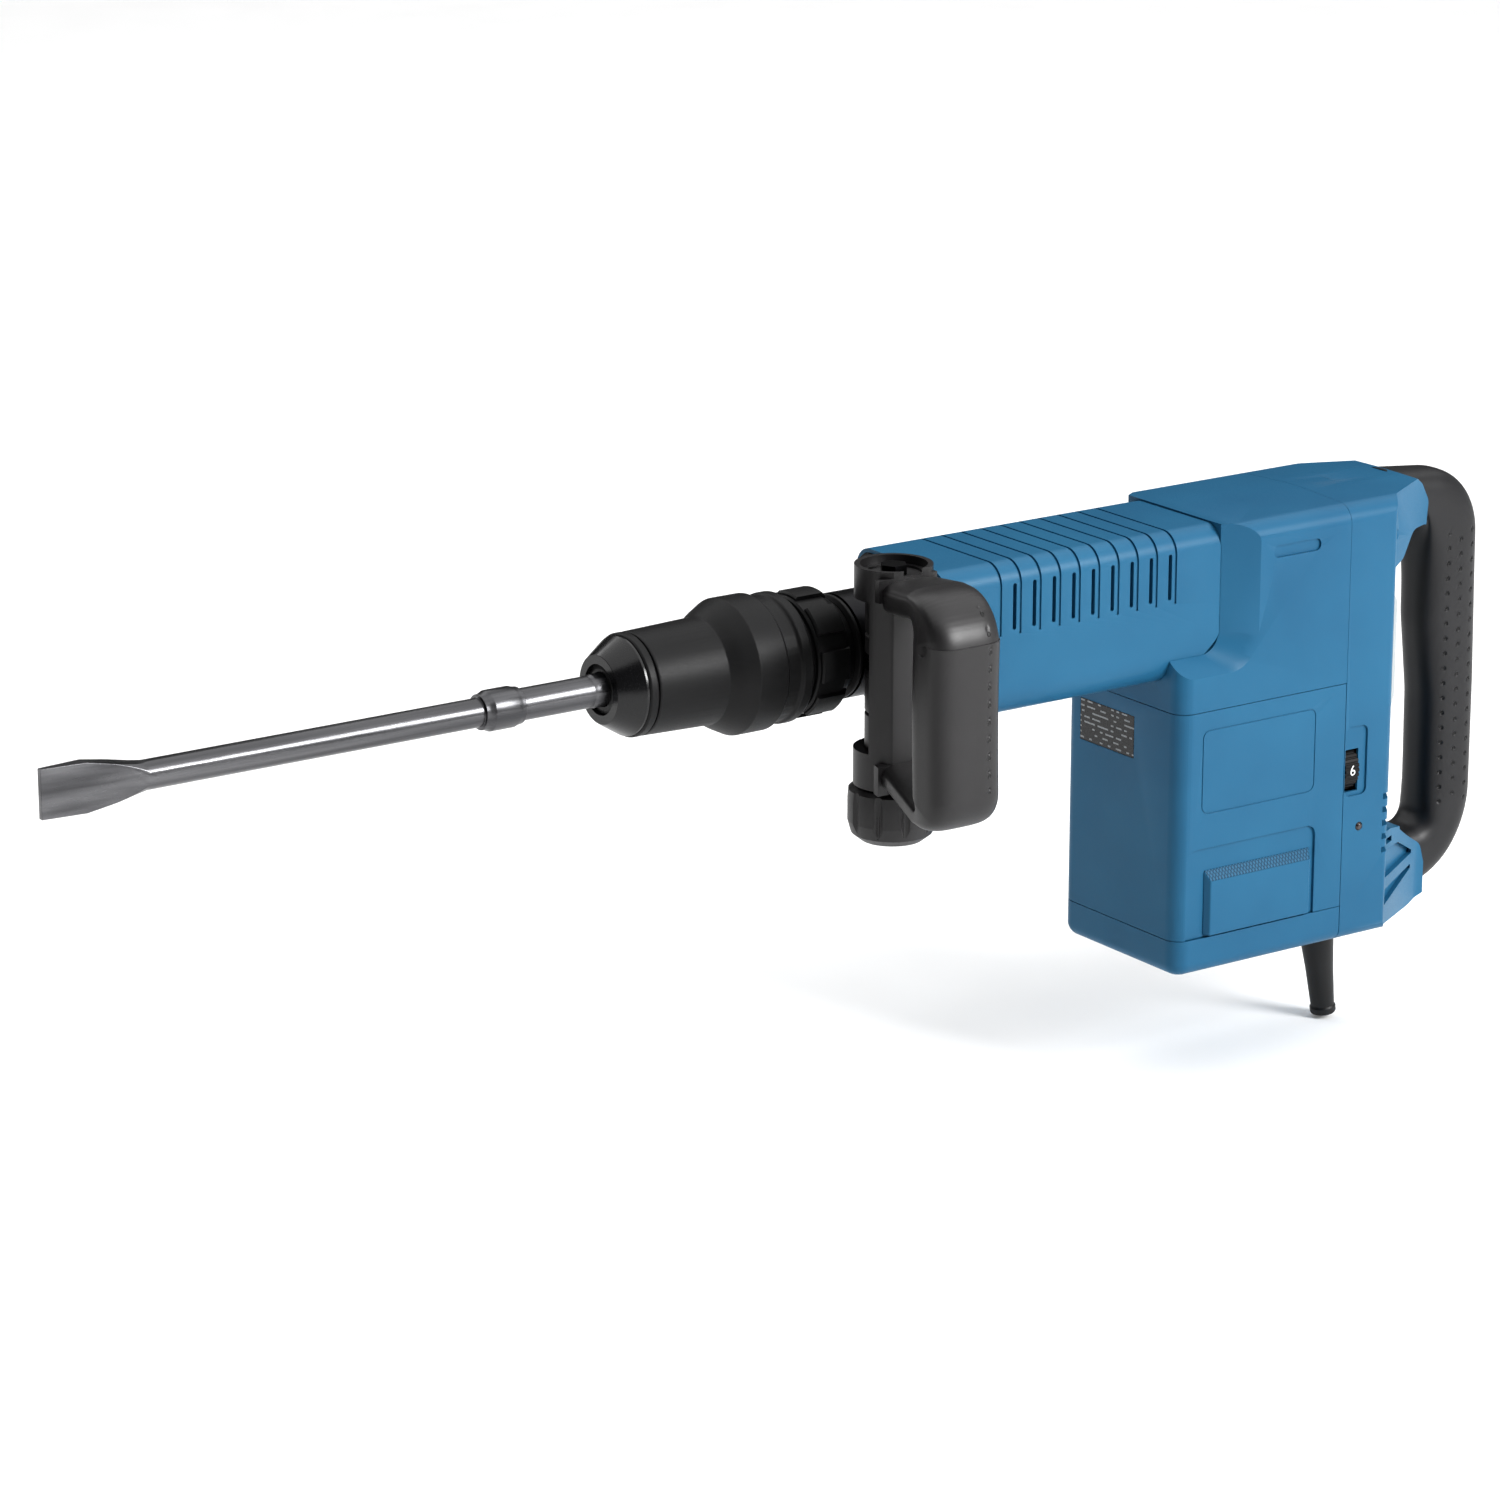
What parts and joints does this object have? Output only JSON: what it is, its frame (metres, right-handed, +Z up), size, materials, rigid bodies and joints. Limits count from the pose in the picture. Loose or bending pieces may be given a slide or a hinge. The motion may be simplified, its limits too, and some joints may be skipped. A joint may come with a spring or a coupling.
{
  "type": "electric jackhammer",
  "caption": "Electric demolition hammer with a flat chisel, quick-release chuck, swivelling side handle, upright motor and rear loop handle.",
  "frame": {"origin": "centre of the tool holder's mouth, on the hammer axis", "axes": "-X along the hammer axis towards the chisel's edge, +Z up away from the motor"},
  "size_m": [0.929, 0.187, 0.3416],
  "materials": {
    "steel": "machined",
    "tool_steel": "forged, ground",
    "aluminium": "cast",
    "laminations": "stacked sheet",
    "copper": "wound wire",
    "brass": "stamped",
    "carbon": "pressed carbon",
    "blue_plastic": "fine grain",
    "black_plastic": "fine grain",
    "gloss_black": "polished",
    "rubber": "matt",
    "grey_plastic": "satin",
    "label": "film",
    "lamp": "clear tinted",
    "red_board": "potted board",
    "beige": "moulded"
  },
  "bodies": {
    "housing": {"gear_housing": "aluminium", "hammer_tube": "steel", "beat_guide_ring": "steel", "neck_ring": "black_plastic", "crank_cover": "aluminium", "gearbox_plate": "aluminium", "gearbox_screws": "steel", "ball_bearings": "steel", "stator": "laminations", "field_coils": "copper", "fan_baffle": "black_plastic", "brush_holders": "brass", "carbon_brushes": "carbon", "barrel_shell": "blue_plastic", "front_collar": "black_plastic", "upper_housing": "blue_plastic", "motor_housing": "blue_plastic", "rating_plate": "label", "side_panels": "blue_plastic", "base_cover": "blue_plastic", "casing_screws": "steel", "rear_shell": "blue_plastic", "rear_grip": "rubber", "switch_pin": "steel", "switch_body": "beige", "switch_spring": "steel", "electronics_module": "red_board", "dial_bracket": "beige", "service_lamp": "lamp", "cable_boot": "rubber", "cable_clamp": "black_plastic"},
    "tool_holder": {"tool_holder": "steel", "dust_cap": "gloss_black", "shank_seal": "rubber", "cap_ring": "black_plastic", "holder_cover": "black_plastic", "sleeve_spring": "steel"},
    "locking_sleeve": {"locking_sleeve": "black_plastic"},
    "roller_upper": {"roller_upper": "steel"},
    "roller_lower": {"roller_lower": "steel"},
    "angle_ring": {"angle_ring": "black_plastic"},
    "chisel": {"chisel": "tool_steel"},
    "beat_piece": {"beat_piece": "steel"},
    "striker": {"striker": "steel"},
    "piston": {"piston": "aluminium", "piston_pin": "steel", "connecting_rod": "aluminium", "crank_pin": "steel"},
    "crankshaft": {"crankshaft": "steel", "crank_gear": "steel"},
    "armature": {"armature": "laminations", "fan": "black_plastic"},
    "switch_paddle": {"switch_paddle": "grey_plastic"},
    "speed_dial": {"speed_dial": "black_plastic"},
    "side_clamp": {"clamp_band": "steel", "clamp_bushes": "black_plastic", "clamp_bolt": "steel"},
    "side_handle": {"side_handle_frame": "black_plastic", "side_grip": "rubber"},
    "clamp_knob": {"clamp_knob": "black_plastic"}
  },
  "joints": [
    {"name": "tool_angle", "type": "hinge", "parent": "housing", "child": "tool_holder", "pos_m": [0, 0, 0], "axis": [1, 0, 0], "continuous": true},
    {"name": "sleeve_pull", "type": "slide", "parent": "tool_holder", "child": "locking_sleeve", "axis": [1, 0, 0], "range_m": [0, 0.007], "stiffness_N_per_m": 2500, "springref_m": -0.004, "deforming": ["sleeve_spring"]},
    {"name": "roller_upper_lift", "type": "slide", "parent": "tool_holder", "child": "roller_upper", "axis": [0, 0, 1], "range_m": [0, 0.0028]},
    {"name": "roller_lower_lift", "type": "slide", "parent": "tool_holder", "child": "roller_lower", "axis": [0, 0, -1], "range_m": [0, 0.0028]},
    {"name": "angle_ring_push", "type": "slide", "parent": "tool_holder", "child": "angle_ring", "axis": [-1, 0, 0], "range_m": [0, 0.003], "stiffness_N_per_m": 3000, "springref_m": -0.003},
    {"name": "chisel_slide", "type": "slide", "parent": "tool_holder", "child": "chisel", "axis": [-1, 0, 0], "range_m": [0, 0.012]},
    {"name": "beat_piece_slide", "type": "slide", "parent": "tool_holder", "child": "beat_piece", "axis": [-1, 0, 0], "range_m": [0, 0.012]},
    {"name": "striker_slide", "type": "slide", "parent": "housing", "child": "striker", "axis": [-1, 0, 0], "range_m": [0, 0.03]},
    {"name": "piston_slide", "type": "slide", "parent": "housing", "child": "piston", "axis": [-1, 0, 0], "range_m": [0, 0.032]},
    {"name": "armature_spin", "type": "hinge", "parent": "housing", "child": "armature", "pos_m": [0.424, 0, 0], "axis": [0, 0, 1], "continuous": true},
    {"name": "crank_spin", "type": "hinge", "parent": "housing", "child": "crankshaft", "pos_m": [0.3865, 0, 0], "axis": [0, 0, 1], "continuous": true},
    {"name": "switch_press", "type": "hinge", "parent": "housing", "child": "switch_paddle", "pos_m": [0.512, 0, -0.021], "axis": [0, 1, 0], "range_deg": [0, 4], "stiffness_Nm_per_rad": 2, "springref_deg": -1.72, "deforming": ["switch_spring"]},
    {"name": "dial_turn", "type": "hinge", "parent": "housing", "child": "speed_dial", "pos_m": [0.475, -0.0383, -0.113], "axis": [1, 0, 0], "range_deg": [-240, 0]},
    {"name": "side_handle_turn", "type": "hinge", "parent": "housing", "child": "side_clamp", "pos_m": [0.161, 0, 0], "axis": [1, 0, 0], "continuous": true},
    {"name": "side_handle_swivel", "type": "hinge", "parent": "side_clamp", "child": "side_handle", "pos_m": [0.157, -0.045, 0], "axis": [0, 0, 1], "range_deg": [-25, 25]},
    {"name": "knob_turn", "type": "hinge", "parent": "side_clamp", "child": "clamp_knob", "pos_m": [0.157, -0.045, -0.082], "axis": [0, 0, -1], "range_deg": [-360, 0]}
  ],
  "couplings": [
    {"joint": "crank_spin", "follows": "armature_spin", "ratio": -0.25},
    {"joint": "beat_piece_slide", "follows": "chisel_slide", "ratio": 1},
    {"joint": "roller_upper_lift", "follows": "sleeve_pull", "ratio": 0.4},
    {"joint": "roller_lower_lift", "follows": "sleeve_pull", "ratio": 0.4}
  ]
}
